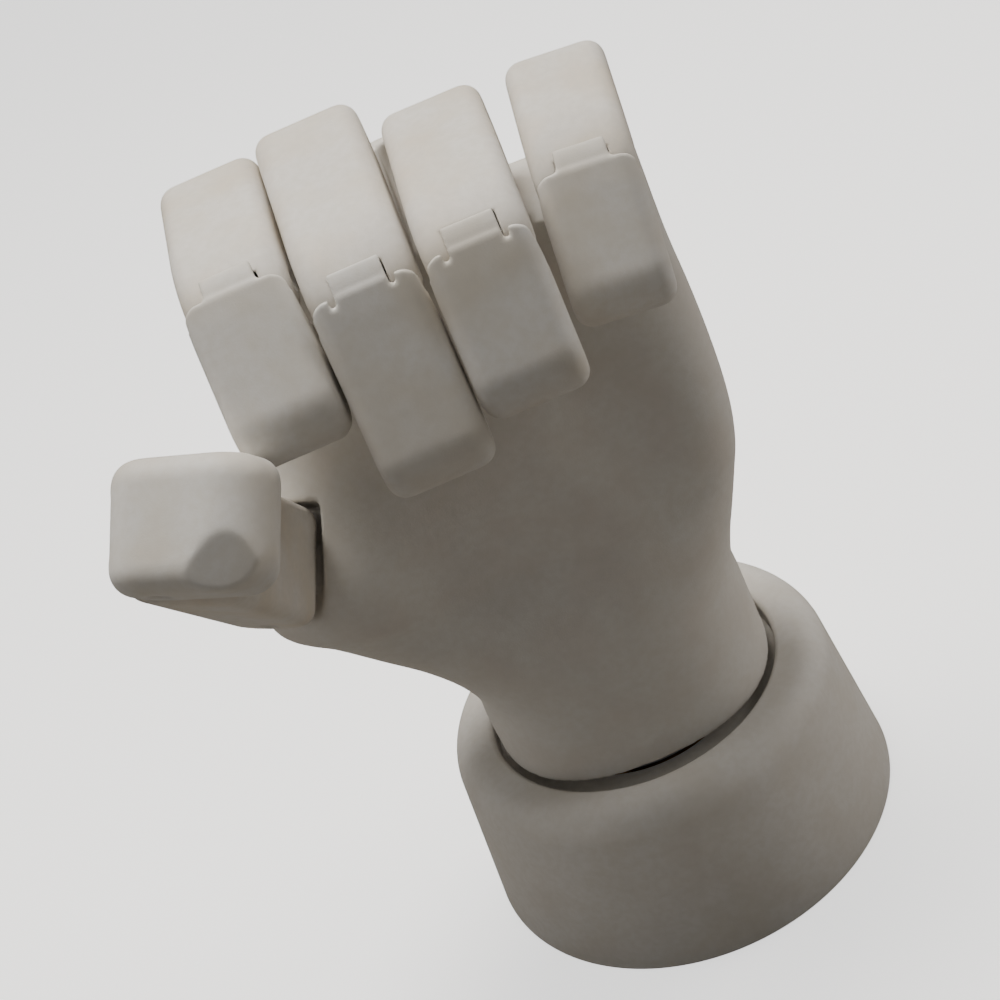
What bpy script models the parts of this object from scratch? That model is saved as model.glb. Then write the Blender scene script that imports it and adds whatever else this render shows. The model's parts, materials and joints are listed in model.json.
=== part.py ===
"""Prosthetic left hand: four two-block fingers and a thumb on a palm shell that turns in a wrist collar.

Metres, +Z up along the hand, the palm faces -Y, the thumb is on -X. The origin is the centre of the
collar's flat base. Lengths below are written in millimetres and multiplied by MM.
"""

import math

import bmesh
import bpy
from mathutils import Matrix, Vector

MM = 0.001
GAP = 0.3 * MM  # clearance between touching pieces

# Collar
COLLAR_HEIGHT = 42.0 * MM
COLLAR_BASE_RADIUS = 47.0 * MM
COLLAR_TOP_RADIUS = 43.4 * MM
COLLAR_RIM_FILLET = 7.0 * MM
COLLAR_LIP_RADIUS = 32.7 * MM  # the recess that the neck sits in
COLLAR_LIP_FILLET = 1.3 * MM
RECESS_FLOOR = 37.0 * MM
BUSH_BORE = 24.0 * MM
CHAMBER_RADIUS = 28.5 * MM
CHAMBER_TOP = 12.0 * MM
PLATE_RADIUS = 38.0 * MM
PLATE_THICKNESS = 4.0 * MM
PLATE_SCREW_CIRCLE = 33.2 * MM
PLATE_SCREW_COUNT = 3
PLATE_SCREW_SEAT = 2.4 * MM
PLATE_SCREW_LENGTH = 10.0 * MM
PLATE_SCREW_HEAD = 3.4 * MM
PLATE_SCREW_SHANK = 1.8 * MM
PLATE_CHAMFER = 0.6 * MM
SCREW_SIDES = 16

# Neck spigot and what holds it
SPIGOT_SHAFT_RADIUS = 20.0 * MM
SPIGOT_SHOULDER_RADIUS = 23.5 * MM
SPIGOT_PLUG_RADIUS = 18.0 * MM
SPIGOT_PLUG_TOP = 58.0 * MM
SPIGOT_BORE = 4.0 * MM
WASHER_RADIUS = 26.0 * MM
WASHER_THICKNESS = 2.8 * MM
CENTRE_SCREW_HEAD = 6.5 * MM

# Palm
NECK_BOTTOM = 41.2 * MM
PALM_TOP = 177.0 * MM
# height, centre x, centre y, reach to the left, right, front and back, squareness (2 is an ellipse)
PALM_STATIONS = [
    (NECK_BOTTOM / MM, 0.0, 1.6, 31.4, 31.4, 29.6, 26.0, 2.35),
    (50.0, 0.0, 1.2, 31.5, 31.4, 29.0, 26.5, 2.3),
    (59.0, 0.0, 0.6, 31.3, 31.4, 28.0, 27.2, 2.25),
    (67.0, 0.0, -1.0, 34.2, 31.3, 26.2, 27.5, 2.2),
    (75.0, 0.0, -3.0, 39.8, 33.2, 23.4, 27.0, 2.22),
    (83.0, 0.0, -5.0, 47.0, 36.0, 20.9, 26.5, 2.28),
    (91.0, 0.0, -6.5, 54.5, 38.9, 18.1, 26.0, 2.32),
    (97.0, 0.0, -7.0, 60.8, 40.9, 18.2, 25.0, 2.35),
    (105.0, 0.0, -7.0, 60.2, 42.5, 17.5, 24.0, 2.35),
    (115.0, 0.0, -5.5, 55.5, 43.4, 16.5, 21.5, 2.35),
    (128.0, 0.0, -3.0, 49.0, 43.7, 15.5, 18.0, 2.35),
    (142.0, 0.0, -1.0, 44.5, 43.4, 14.0, 15.5, 2.35),
    (158.0, 0.0, 0.5, 42.2, 43.8, 13.0, 13.5, 2.35),
    (PALM_TOP / MM, 0.0, 1.5, 41.4, 44.2, 12.0, 12.0, 2.35),
]
PALM_LAYERS = 26
PALM_POINTS = 40
# hollows and mounds of the palm's front: x, z, spread in x, spread in z, depth towards the back
PALM_HOLLOWS = [
    (-12.0, 99.0, 13.0, 12.0, 7.0),
    (20.0, 112.0, 10.0, 15.0, 4.5),
    (-46.0, 108.0, 11.0, 12.0, -6.0),
]
# the palm's top drops to this line on the little finger's side: x, z
PALM_SHOULDER = [(2.0, 176.5), (20.5, 161.5), (60.0, 161.5), (60.0, 200.0), (2.0, 200.0)]

# Cavity behind the palm and its cover
COVER_HALF_WIDTH = 27.0 * MM
COVER_LOW = 79.0 * MM
COVER_HIGH = 156.0 * MM
COVER_FACE = 8.3 * MM
CAVITY_HALF_WIDTH = 20.8 * MM
CAVITY_LOW = 87.0 * MM
CAVITY_HIGH = 150.5 * MM
CAVITY_FLOOR = -6.0 * MM
COVER_SCREW_INSET = 3.4 * MM
COVER_SCREW_SEAT = 10.4 * MM
COVER_SCREW_LENGTH = 9.5 * MM

# Fingers: name, knuckle x, y, z, splay and inward turn of the hinge, then the rest angles from
# straight of both blocks, each with its length (axis to axis, axis to tip), and the width
FINGERS = [
    ("index", -31.9, 1.6, 179.9, 1.0, -1.6, 92.5, 33.2, 143.0, 28.6, 19.8),
    ("middle", -11.3, 0.6, 182.1, 1.2, -2.0, 102.0, 37.8, 158.0, 37.0, 20.3),
    ("ring", 11.1, 1.1, 175.6, 1.0, 0.2, 92.8, 38.2, 156.5, 30.0, 19.8),
    ("little", 35.1, 1.9, 174.0, 4.4, 4.0, 103.0, 22.4, 152.0, 26.8, 19.2),
]
BLOCK_HALF = 9.0 * MM  # half the thickness of a block, and the radius of its rounded ends
BLOCK_EDGE = 3.2 * MM
BARREL_RADIUS = 8.0 * MM  # the middle knuckle, which the distal block's lip covers
LIP_CLEARANCE = 0.35 * MM
LIP_RISE = 1.2 * MM
DISTAL_BACK = 9.6 * MM  # the distal block stands a little proud of the proximal
TAPER_START = 10.0 * MM
TAPER_END = 4.6 * MM
TAB_HALF_WIDTH = 4.8 * MM
TAB_RISE = 3.8 * MM
TONGUE_HALF_WIDTH = 4.4 * MM
TONGUE_RADIUS = 5.2 * MM
TONGUE_NECK_HALF = 4.4 * MM
TONGUE_LENGTH = 18.0 * MM
SLOT_CLEARANCE = 0.5 * MM
TROUGH_CLEARANCE = 0.6 * MM
SLOT_TOP = 8.2 * MM
PIN_RADIUS = 1.5 * MM
PIN_RECESS = 0.6 * MM
RELIEF_LENGTH = 8.5 * MM
FINGER_CLOSES = 6.0  # degrees past rest at the knuckle

# Thumb
THUMB_WIDTH = 23.6 * MM
THUMB_EDGE = 4.6 * MM
THUMB_BASE = Vector((-52.0, -16.0, 119.5)) * MM
THUMB_KNUCKLE = Vector((-57.6, -56.2, 157.5)) * MM
THUMB_HINGE = Vector((0.375, 0.650, 0.661)).normalized()
THUMB_TIP_WAY = Vector((0.885, -0.458, -0.052)).normalized()
THUMB_TIP_LENGTH = 22.0 * MM
THUMB_OPENS = 22.0
THUMB_CLOSES = 0.0
THUMB_SOCKET_GAP = 1.6 * MM
THUMB_FLANK_RISE = 2.0 * MM  # the first block is cut back below its back edge, to clear the tip block
THUMB_HEART_RISE = 0.8 * MM

# Cord carriers behind the palm
CARRIER_PITCH = 10.0 * MM
CARRIER_SIZE = Vector((7.0, 6.0, 10.0)) * MM
CARRIER_REST = 106.0 * MM
GUIDE_THICKNESS = 2.4 * MM
GUIDE_LEDGE = 3.0 * MM
CORD_RADIUS = 0.8 * MM
CORD_CHANNEL = 1.4 * MM
CORD_FRONT = -6.4 * MM
CORD_DEPTH = 4.5 * MM
SPRING_RADIUS = 2.1 * MM
SPRING_WIRE = 0.45 * MM
SPRING_TURNS = 5
FENCE_TOP = CARRIER_REST + 23.0 * MM
GUIDE_TOP = FENCE_TOP + 1.0 * MM

NYLON = ("white_nylon", (0.60, 0.58, 0.54), 0.55, 0.0)
STEEL = ("steel", (0.62, 0.62, 0.63), 0.3, 1.0)
BRONZE = ("bronze", (0.55, 0.36, 0.18), 0.4, 1.0)
ALUMINIUM = ("aluminium", (0.7, 0.7, 0.72), 0.4, 1.0)
ACETAL = ("dark_acetal", (0.03, 0.03, 0.035), 0.5, 0.0)
CORD = ("braided_cord", (0.5, 0.5, 0.48), 0.8, 0.0)

for old in list(bpy.data.objects):
    bpy.data.objects.remove(old, do_unlink=True)
parts = bpy.data.collections.new("prosthetic_hand")
cutters = bpy.data.collections.new("cutters")
cutters.hide_render = True
for collection in (parts, cutters):
    bpy.context.scene.collection.children.link(collection)


def material(finish):
    name, colour, roughness, metallic = finish
    found = bpy.data.materials.get(name)
    if found:
        return found
    made = bpy.data.materials.new(name)
    made.use_nodes = True
    shader = made.node_tree.nodes["Principled BSDF"]
    shader.inputs["Base Color"].default_value = (*colour, 1.0)
    shader.inputs["Roughness"].default_value = roughness
    shader.inputs["Metallic"].default_value = metallic
    return made


def add(name, bm, finish=None, matrix=None):
    """Turns a bmesh into an object: a part if it has a finish, else a cutter."""
    bmesh.ops.recalc_face_normals(bm, faces=bm.faces)
    mesh = bpy.data.meshes.new(name)
    bm.to_mesh(mesh)
    bm.free()
    mesh.shade_smooth()
    mesh.set_sharp_from_angle(angle=math.radians(35))
    obj = bpy.data.objects.new(name, mesh)
    if matrix is not None:
        obj.matrix_world = matrix
    if finish:
        mesh.materials.append(material(finish))
        parts.objects.link(obj)
    else:
        obj.hide_render = True
        obj.display_type = "WIRE"
        cutters.objects.link(obj)
    return obj


def boolean(obj, other, operation="DIFFERENCE"):
    modifier = obj.modifiers.new(operation.lower() + "_" + other.name, "BOOLEAN")
    modifier.operation = operation
    modifier.solver = "EXACT"
    modifier.object = other


def box(low, high):
    bm = bmesh.new()
    low = Vector(low)
    high = Vector(high)
    bmesh.ops.create_cube(bm, size=1.0)
    bmesh.ops.scale(bm, vec=high - low, verts=bm.verts)
    bmesh.ops.translate(bm, vec=(low + high) / 2, verts=bm.verts)
    return bm


def rod(start, end, radius, sides=14):
    """A closed cylinder between two points."""
    bm = bmesh.new()
    start = Vector(start)
    way = Vector(end) - start
    bmesh.ops.create_cone(
        bm, cap_ends=True, segments=sides, radius1=radius, radius2=radius, depth=way.length
    )
    turn = way.to_track_quat("Z", "Y").to_matrix().to_4x4()
    bmesh.ops.transform(bm, matrix=Matrix.Translation(start + way / 2) @ turn, verts=bm.verts)
    return bm


def turned(name, profile, finish, steps=40):
    """A turned piece: a closed outline of (radius, height) spun about Z."""
    bm = bmesh.new()
    points = [bm.verts.new((radius, 0.0, height)) for radius, height in profile]
    for start, end in zip(points, points[1:] + points[:1]):
        bm.edges.new((start, end))
    bmesh.ops.spin(
        bm,
        geom=bm.verts[:] + bm.edges[:],
        axis=(0, 0, 1),
        cent=(0, 0, 0),
        angle=math.tau,
        steps=steps,
        use_merge=True,
    )
    bmesh.ops.remove_doubles(bm, verts=bm.verts, dist=0.001 * MM)
    return add(name, bm, finish)


def slab(outline, half_width, edge=0.0, keep_sharp=None):
    """An outline in the local YZ plane, extruded both ways along X, its two side rims rounded."""
    bm = bmesh.new()
    verts = [bm.verts.new((-half_width, y, z)) for y, z in outline]
    face = bm.faces.new(verts)
    moved = bmesh.ops.extrude_face_region(bm, geom=[face])["geom"]
    shifted = [item for item in moved if isinstance(item, bmesh.types.BMVert)]
    bmesh.ops.translate(bm, vec=(2 * half_width, 0, 0), verts=shifted)
    bmesh.ops.recalc_face_normals(bm, faces=bm.faces)
    if edge:
        rims = [
            line
            for line in bm.edges
            if abs(line.verts[0].co.x - line.verts[1].co.x) < 0.01 * MM
            and not (keep_sharp and all(keep_sharp(vert.co) for vert in line.verts))
        ]
        bmesh.ops.bevel(bm, geom=rims, offset=edge, segments=2, profile=0.5, affect="EDGES")
    return bm


def arc(centre_y, centre_z, radius, start, end, steps):
    """Points (y, z) on an arc; the angle is from +Y towards +Z, in degrees."""
    found = []
    for step in range(steps + 1):
        angle = math.radians(start + (end - start) * step / steps)
        found.append((centre_y + radius * math.cos(angle), centre_z + radius * math.sin(angle)))
    return found


def block_matrix(place, hinge, way):
    """Local X along the hinge, local Z along the block, local Y out of its back."""
    way = (way - hinge * way.dot(hinge)).normalized()
    back = way.cross(hinge).normalized()
    frame = Matrix((hinge, back, way)).transposed().to_4x4()
    return Matrix.Translation(place) @ frame


# Collar, its bush, adapter plate and screws


def collar():
    rim_centre_out = COLLAR_TOP_RADIUS - COLLAR_RIM_FILLET
    rim_centre_up = COLLAR_HEIGHT - COLLAR_RIM_FILLET
    profile = [
        (PLATE_RADIUS + GAP, 0.0),
        (COLLAR_BASE_RADIUS - 1.0 * MM, 0.0),
        (COLLAR_BASE_RADIUS, 1.0 * MM),
    ]
    profile += arc(rim_centre_out, rim_centre_up, COLLAR_RIM_FILLET, 4, 90, 4)
    lip_out = COLLAR_LIP_RADIUS + COLLAR_LIP_FILLET
    profile += arc(lip_out, COLLAR_HEIGHT - COLLAR_LIP_FILLET, COLLAR_LIP_FILLET, 90, 180, 2)
    profile += [
        (COLLAR_LIP_RADIUS, RECESS_FLOOR),
        (BUSH_BORE, RECESS_FLOOR),
        (BUSH_BORE, CHAMBER_TOP),
        (CHAMBER_RADIUS, CHAMBER_TOP),
        (CHAMBER_RADIUS, PLATE_THICKNESS + GAP),
        (PLATE_RADIUS + GAP, PLATE_THICKNESS + GAP),
    ]
    return turned("wrist_collar", profile, NYLON)


def ring(name, inner, outer, low, high, finish):
    return turned(name, [(inner, low), (outer, low), (outer, high), (inner, high)], finish, 40)


def cap_screw(name, head_centre, way, head_radius, head_height, shank_radius, length, finish=STEEL):
    """A socket-head screw: head and shank in one turned outline, with a hexagonal socket."""
    outline = [
        (0.0, length),
        (shank_radius, length),
        (shank_radius, 0.0),
        (head_radius, 0.0),
        (head_radius, -head_height),
        (0.0, -head_height),
    ]
    bm = bmesh.new()
    points = [bm.verts.new((radius, 0.0, height)) for radius, height in outline]
    for start, end in zip(points, points[1:]):
        bm.edges.new((start, end))
    bmesh.ops.spin(
        bm,
        geom=bm.verts[:] + bm.edges[:],
        axis=(0, 0, 1),
        cent=(0, 0, 0),
        angle=math.tau,
        steps=SCREW_SIDES,
        use_merge=True,
    )
    bmesh.ops.remove_doubles(bm, verts=bm.verts, dist=0.001 * MM)
    turn = Vector(way).to_track_quat("Z", "Y").to_matrix().to_4x4()
    place = Matrix.Translation(head_centre) @ turn
    screw = add(name, bm, finish, place)
    socket = rod((0, 0, -head_height - 1 * MM), (0, 0, -head_height * 0.4), head_radius * 0.5, 6)
    boolean(screw, add(name + "_socket", socket, None, place))
    return screw


def wrist():
    body = collar()
    plate = turned(
        "adapter_plate",
        [
            (PLATE_RADIUS - PLATE_CHAMFER, 0.0),
            (PLATE_RADIUS, PLATE_CHAMFER),
            (PLATE_RADIUS, PLATE_THICKNESS),
            (0.0, PLATE_THICKNESS),
            (0.0, 0.0),
        ],
        ALUMINIUM,
    )
    inner = SPIGOT_SHAFT_RADIUS + GAP
    ring("neck_bush", inner, BUSH_BORE - GAP, CHAMBER_TOP, RECESS_FLOOR - GAP, BRONZE)
    for number in range(PLATE_SCREW_COUNT):
        angle = math.tau * (number + 0.25) / PLATE_SCREW_COUNT
        spot = Vector((math.cos(angle), math.sin(angle), 0)) * PLATE_SCREW_CIRCLE
        name = f"adapter_screw_{number + 1}"
        seat = Vector((0, 0, PLATE_SCREW_SEAT))
        top = seat + Vector((0, 0, PLATE_SCREW_LENGTH + 2 * GAP))
        head, shank = PLATE_SCREW_HEAD, PLATE_SCREW_SHANK
        cap_screw(name, spot + seat, (0, 0, 1), head, 2.0 * MM, shank, PLATE_SCREW_LENGTH)
        hole = add(name + "_hole", rod(spot - seat, spot + top, shank + GAP))
        head = add(name + "_seat", rod(spot - seat, spot + seat, head + GAP))
        boolean(plate, hole)
        boolean(plate, head)
        boolean(body, hole)


def spigot():
    shaft_bottom = CHAMBER_TOP - GAP
    shoulder_low = RECESS_FLOOR + GAP
    profile = [
        (SPIGOT_BORE, shaft_bottom),
        (SPIGOT_SHAFT_RADIUS, shaft_bottom),
        (SPIGOT_SHAFT_RADIUS, shoulder_low),
        (SPIGOT_SHOULDER_RADIUS, shoulder_low),
        (SPIGOT_SHOULDER_RADIUS, NECK_BOTTOM - GAP),
        (SPIGOT_PLUG_RADIUS, NECK_BOTTOM - GAP),
        (SPIGOT_PLUG_RADIUS, SPIGOT_PLUG_TOP),
        (SPIGOT_BORE, SPIGOT_PLUG_TOP),
    ]
    turned("neck_spigot", profile, ALUMINIUM, 40)
    washer_top = shaft_bottom - GAP
    washer_low = washer_top - WASHER_THICKNESS
    ring("retaining_washer", SPIGOT_BORE, WASHER_RADIUS, washer_low, washer_top, STEEL)
    cap_screw(
        "centre_screw",
        Vector((0, 0, washer_low - GAP)),
        (0, 0, 1),
        CENTRE_SCREW_HEAD,
        washer_low - GAP - PLATE_THICKNESS - 2 * GAP,
        SPIGOT_BORE - GAP,
        30.0 * MM,
    )


# Palm shell, its cover and what is behind it


def smooth_between(stations, height):
    """One row of the station table at a height, on a smooth curve through the rows."""
    rows = sorted(stations)
    last = len(rows) - 1
    index = max(i for i in range(last) if i == 0 or rows[i][0] <= height)
    before = rows[max(index - 1, 0)]
    low = rows[index]
    high = rows[index + 1]
    after = rows[min(index + 2, last)]
    span = high[0] - low[0]
    t = min(max((height - low[0]) / span, 0.0), 1.0)
    found = []
    for column in range(1, len(low)):
        rise_low = (high[column] - before[column]) / (high[0] - before[0]) * span
        rise_high = (after[column] - low[column]) / (after[0] - low[0]) * span
        a = 2 * t**3 - 3 * t**2 + 1
        b = t**3 - 2 * t**2 + t
        c = -2 * t**3 + 3 * t**2
        d = t**3 - t**2
        found.append(a * low[column] + b * rise_low + c * high[column] + d * rise_high)
    return found


def palm_loft():
    """The palm's outer form, a loft of rounded sections with the hollows pressed in."""
    bm = bmesh.new()
    rings = []
    low = NECK_BOTTOM / MM
    high = PALM_TOP / MM
    for layer in range(PALM_LAYERS + 1):
        height = low + (high - low) * layer / PALM_LAYERS
        x, y, left, right, front, back, squareness = smooth_between(PALM_STATIONS, height)
        row = []
        for step in range(PALM_POINTS):
            angle = math.tau * step / PALM_POINTS
            across = math.cos(angle)
            along = math.sin(angle)
            power = 2 / squareness
            px = x + (right if across > 0 else left) * math.copysign(abs(across) ** power, across)
            py = y + (back if along > 0 else front) * math.copysign(abs(along) ** power, along)
            if along < 0:
                for hx, hz, sx, sz, depth in PALM_HOLLOWS:
                    fall = ((px - hx) / sx) ** 2 + ((height - hz) / sz) ** 2
                    py += depth * math.exp(-fall / 2) * abs(along)
            row.append(bm.verts.new((px * MM, py * MM, height * MM)))
        rings.append(row)
    for lower, upper in zip(rings, rings[1:]):
        for step in range(PALM_POINTS):
            after = (step + 1) % PALM_POINTS
            bm.faces.new((lower[step], lower[after], upper[after], upper[step]))
    bm.faces.new(rings[0][::-1])
    bm.faces.new(rings[-1])
    return bm


def finger_frame(finger):
    """The knuckle's place, the hinge's way and the straight finger's way."""
    _, x, y, z, splay, turn = finger[:6]
    tilt = math.radians(splay)
    turn = math.radians(turn)
    straight = Vector((math.sin(tilt), 0, math.cos(tilt)))
    level = math.cos(turn)
    hinge = Vector((math.cos(tilt) * level, -math.sin(turn), -math.sin(tilt) * level))
    return Vector((x, y, z)) * MM, hinge, straight


def bent(hinge, straight, degrees):
    """The way of a block at this angle from the straight finger, towards the palm."""
    angle = math.radians(degrees)
    return straight * math.cos(angle) + hinge.cross(straight) * math.sin(angle)


def tongue_outline(clearance=0.0):
    """The lug's outline: a round end and a straight neck, or the room that it needs."""
    neck = TONGUE_NECK_HALF + clearance
    outline = arc(0, 0, TONGUE_RADIUS + clearance, 0, 180, 8)
    return outline + [(-neck, -TONGUE_LENGTH), (neck, -TONGUE_LENGTH)]


def tongue():
    """The lug that a finger's rounded end turns on, pointing along the straight finger."""
    return slab(tongue_outline(), TONGUE_HALF_WIDTH)


def palm():
    shell = add("palm_shell", palm_loft(), NYLON)
    cover = add("back_cover", palm_loft(), NYLON)
    high = 60 * MM
    far_side = 50 * MM
    cover_low = (-COVER_HALF_WIDTH, COVER_FACE, COVER_LOW)
    cover_block = box(cover_low, (COVER_HALF_WIDTH, high, COVER_HIGH))
    boolean(cover, add("cover_block", cover_block), "INTERSECT")
    wide = COVER_HALF_WIDTH + GAP
    opening = box((-wide, COVER_FACE - GAP, COVER_LOW - GAP), (wide, high, COVER_HIGH + GAP))
    boolean(shell, add("cover_opening", opening))
    cavity = box(
        (-CAVITY_HALF_WIDTH, CAVITY_FLOOR, CAVITY_LOW), (CAVITY_HALF_WIDTH, high, CAVITY_HIGH)
    )
    boolean(shell, add("cord_cavity", cavity))
    bore_low = (0, 0, NECK_BOTTOM - 5 * MM)
    bore = rod(bore_low, (0, 0, SPIGOT_PLUG_TOP + 2 * GAP), SPIGOT_PLUG_RADIUS + GAP, 40)
    boolean(shell, add("spigot_bore", bore))

    bm = bmesh.new()
    outline = [bm.verts.new((x * MM, -far_side, z * MM)) for x, z in PALM_SHOULDER]
    moved = bmesh.ops.extrude_face_region(bm, geom=[bm.faces.new(outline)])["geom"]
    shifted = [item for item in moved if isinstance(item, bmesh.types.BMVert)]
    bmesh.ops.translate(bm, vec=(0, 2 * far_side, 0), verts=shifted)
    boolean(shell, add("palm_shoulder", bm))

    # A trough for each finger's rounded end, then the tongue that the finger turns on
    reach = BLOCK_HALF + TROUGH_CLEARANCE
    far = 55 * MM
    for finger in FINGERS:
        name = finger[0]
        place, hinge, straight = finger_frame(finger)
        closed = finger[6] + FINGER_CLOSES + 2
        slope = math.radians(closed - 90)
        outline = [(reach, 45 * MM)] + arc(0, 0, reach, 0, closed - 180, 6)
        front = outline[-1][0] - far * math.cos(slope)
        outline += [(front, outline[-1][1] - far * math.sin(slope)), (front, 45 * MM)]
        frame = block_matrix(place, hinge, straight)
        trough = add(name + "_trough", slab(outline, 12.2 * MM), None, frame)
        boolean(shell, trough)
    for finger in FINGERS:
        name = finger[0]
        place, hinge, straight = finger_frame(finger)
        frame = block_matrix(place, hinge, straight)
        boolean(shell, add(name + "_tongue", tongue(), None, frame), "UNION")
        hole = rod(place - hinge * 8 * MM, place + hinge * 8 * MM, PIN_RADIUS + GAP)
        boolean(shell, add(name + "_tongue_hole", hole))
        start, end = cord_ends(finger)
        way = (end - start).normalized()
        channel = rod(start + (end - start) * 0.2, end + way * 8 * MM, CORD_CHANNEL, 10)
        boolean(shell, add(name + "_channel", channel))

    # The thumb's socket, with its tongue
    root, way = thumb_root()
    frame = block_matrix(root, THUMB_HINGE, way)
    reach = BLOCK_HALF + THUMB_SOCKET_GAP
    opens = math.radians(THUMB_OPENS + 4)
    closes = math.radians(THUMB_CLOSES + 4)
    far = 60 * MM
    fan = [(reach + far * math.sin(opens), far * math.cos(opens)), (reach, 0.0)]
    fan = fan + arc(0, 0, reach, 0, -180, 10)[1:]
    fan.append((-reach - far * math.sin(closes), far * math.cos(closes)))
    boolean(shell, add("thumb_socket", slab(fan, THUMB_WIDTH / 2 + TROUGH_CLEARANCE), None, frame))
    opened = Matrix.Rotation(-math.radians(THUMB_OPENS), 3, THUMB_HINGE) @ way
    frame = block_matrix(root, THUMB_HINGE, opened)
    boolean(shell, add("thumb_tongue", tongue(), None, frame), "UNION")
    ends = THUMB_HINGE * 8 * MM
    boolean(shell, add("thumb_base_hole", rod(root - ends, root + ends, PIN_RADIUS + GAP)))

    for side in (-1, 1):
        for level, height in (("low", COVER_LOW + 4.4 * MM), ("high", COVER_HIGH - 2.8 * MM)):
            name = "cover_screw_" + level + ("_left" if side < 0 else "_right")
            x = side * (COVER_HALF_WIDTH - COVER_SCREW_INSET)
            seat = Vector((x, COVER_SCREW_SEAT, height))
            cap_screw(name, seat, (0, -1, 0), 2.2 * MM, 1.8 * MM, 1.1 * MM, COVER_SCREW_LENGTH)
            deep = seat - Vector((0, COVER_SCREW_LENGTH + 2 * GAP, 0))
            outside = seat + Vector((0, 20 * MM, 0))
            hole = add(name + "_hole", rod(deep, outside, 1.1 * MM + GAP, 12))
            sink = rod(seat - Vector((0, GAP, 0)), outside, 2.2 * MM + GAP)
            sink = add(name + "_sink", sink)
            boolean(cover, hole)
            boolean(cover, sink)
            boolean(shell, hole)


# Cord carriers, cords and springs


def carrier_x(finger):
    order = [row[0] for row in FINGERS].index(finger[0])
    return (order - (len(FINGERS) - 1) / 2) * CARRIER_PITCH


def cord_ends(finger):
    """Where a cord leaves its carrier, and where it leaves the palm's top."""
    place, _, straight = finger_frame(finger)
    start = Vector((carrier_x(finger), 0.0, CARRIER_REST + CARRIER_SIZE.z / 2 + GAP))
    end = place + Vector((0, CORD_FRONT, 0)) - straight * (BLOCK_HALF + CORD_DEPTH)
    return start, end


def helix_tube(name, radius, wire, low, high, turns, x):
    curve = bpy.data.curves.new(name, "CURVE")
    curve.dimensions = "3D"
    curve.bevel_depth = wire
    curve.bevel_resolution = 1
    curve.use_fill_caps = True
    line = curve.splines.new("POLY")
    count = turns * 8
    line.points.add(count)
    for step, point in enumerate(line.points):
        angle = math.tau * turns * step / count
        rise = low + wire + (high - low - 2 * wire) * step / count
        point.co = (x + radius * math.cos(angle), radius * math.sin(angle), rise, 1.0)
    obj = bpy.data.objects.new(name, curve)
    curve.materials.append(material(STEEL))
    parts.objects.link(obj)


def transmission():
    plate_low = CAVITY_LOW + GAP
    half = CAVITY_HALF_WIDTH - GAP
    floor = CAVITY_FLOOR + GAP
    guide = add(
        "guide_plate",
        box((-half, floor, plate_low), (half, floor + GUIDE_THICKNESS, GUIDE_TOP)),
        ACETAL,
    )
    ledge_high = (half, COVER_FACE - GAP - 1 * MM, plate_low + GUIDE_LEDGE)
    ledge = box((-half, floor + 0.5 * MM, plate_low), ledge_high)
    boolean(guide, add("guide_ledge", ledge), "UNION")
    for finger in FINGERS:
        name = finger[0]
        x = carrier_x(finger)
        size = CARRIER_SIZE / 2
        middle = Vector((x, 0.0, CARRIER_REST))
        bm = box(middle - size, middle + size)
        bmesh.ops.bevel(bm, geom=bm.edges[:], offset=0.8 * MM, segments=1, profile=0.5, affect="EDGES")
        add(name + "_carrier", bm, ACETAL)
        start, end = cord_ends(finger)
        add(name + "_cord", rod(start, end, CORD_RADIUS, 10), CORD)
        helix_tube(
            name + "_spring",
            SPRING_RADIUS,
            SPRING_WIRE,
            plate_low + GUIDE_LEDGE + GAP,
            CARRIER_REST - size.z - GAP,
            SPRING_TURNS,
            x,
        )
        fence = box(
            (x + 4.2 * MM, floor + 0.5 * MM, plate_low + 0.5 * MM), (x + 5.8 * MM, 2.4 * MM, FENCE_TOP)
        )
        if finger is not FINGERS[-1]:
            boolean(guide, add(name + "_fence", fence), "UNION")


# Fingers and thumb


def pin(name, place, hinge, length):
    return add(name, rod(place - hinge * length / 2, place + hinge * length / 2, PIN_RADIUS), STEEL)


def knuckle_slot(obj, name, frame, at, top):
    """The slot in a block's rounded end that a tongue stands in; the block's back stays closed."""
    half = TONGUE_HALF_WIDTH + SLOT_CLEARANCE
    slot = box((-half, -20 * MM, at - 20 * MM), (half, TONGUE_RADIUS + SLOT_CLEARANCE, at + top))
    boolean(obj, add(name + "_slot", slot, None, frame))


def proximal(finger):
    name = finger[0] + "_proximal"
    place, hinge, straight = finger_frame(finger)
    length = finger[7] * MM
    half = finger[10] / 2 * MM
    way = bent(hinge, straight, finger[6])
    frame = block_matrix(place, hinge, way)
    outline = arc(0, 0, BLOCK_HALF, 0, -180, 12)
    outline += [(-BLOCK_HALF, length - TAPER_START), (-BARREL_RADIUS, length - TAPER_END)]
    outline += arc(0, length, BARREL_RADIUS, 180, 0, 12)
    outline += [(BARREL_RADIUS, length - TAPER_END), (BLOCK_HALF, length - TAPER_START)]
    block = add(name, slab(outline, half, BLOCK_EDGE), NYLON, frame)
    knuckle_slot(block, name, frame, 0.0, SLOT_TOP)
    slot_half = TONGUE_HALF_WIDTH + SLOT_CLEARANCE
    slot_deep = TONGUE_RADIUS + SLOT_CLEARANCE
    fork = box((-slot_half, -20 * MM, length - slot_deep), (slot_half, slot_deep, length + 20 * MM))
    boolean(block, add(name + "_fork", fork, None, frame))
    for label, at in (("a", 0.0), ("b", length)):
        hole = rod((-half - 5 * MM, 0, at), (half + 5 * MM, 0, at), PIN_RADIUS + GAP)
        boolean(block, add(f"{name}_hole_{label}", hole, None, frame))
    knuckle = place + way * length
    pin(finger[0] + "_knuckle_pin", place, hinge, 2 * (half - PIN_RECESS))
    pin(finger[0] + "_middle_pin", knuckle, hinge, 2 * (half - PIN_RECESS))


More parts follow.
